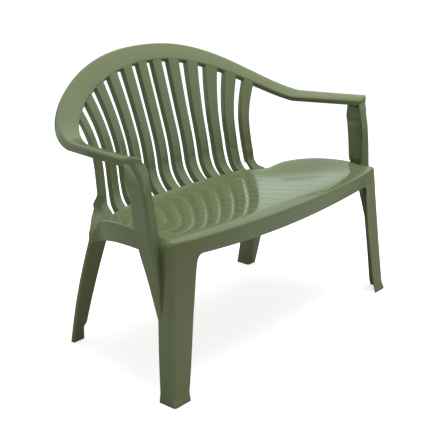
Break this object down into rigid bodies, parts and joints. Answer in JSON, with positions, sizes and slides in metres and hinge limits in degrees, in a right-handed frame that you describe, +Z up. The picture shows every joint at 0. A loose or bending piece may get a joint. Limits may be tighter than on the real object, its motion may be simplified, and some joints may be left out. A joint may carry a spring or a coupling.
{
  "type": "two-seat garden bench",
  "caption": "Moulded two-seat garden bench with a dished seat, arched slatted back, armrests and four splayed legs.",
  "frame": {"origin": "on the ground, under the middle of the bench's outline", "axes": "+X along the bench to the sitter's left, +Y from the front to the back, +Z up"},
  "size_m": [1.1712, 0.6642, 0.8597],
  "materials": {
    "green_polypropylene": "sage green polypropylene, satin gloss, through-coloured, fine moulded texture on the seat"
  },
  "bodies": {
    "root": {"seat_panel": "green_polypropylene", "front_apron": "green_polypropylene", "rear_apron": "green_polypropylene", "side_apron_left": "green_polypropylene", "side_apron_right": "green_polypropylene", "seat_rib_1": "green_polypropylene", "seat_rib_2": "green_polypropylene", "seat_rib_3": "green_polypropylene", "seat_rib_4": "green_polypropylene", "seat_rib_5": "green_polypropylene", "seat_spine": "green_polypropylene", "slat_01": "green_polypropylene", "slat_02": "green_polypropylene", "slat_03": "green_polypropylene", "slat_04": "green_polypropylene", "slat_05": "green_polypropylene", "slat_06": "green_polypropylene", "slat_07": "green_polypropylene", "slat_08": "green_polypropylene", "slat_09": "green_polypropylene", "slat_10": "green_polypropylene", "slat_11": "green_polypropylene", "slat_12": "green_polypropylene", "back_rail": "green_polypropylene", "arm_left": "green_polypropylene", "arm_right": "green_polypropylene", "arm_post_left": "green_polypropylene", "arm_post_right": "green_polypropylene", "leg_front_left": "green_polypropylene", "leg_front_right": "green_polypropylene", "leg_rear_left": "green_polypropylene", "leg_rear_right": "green_polypropylene"}
  },
  "joints": []
}
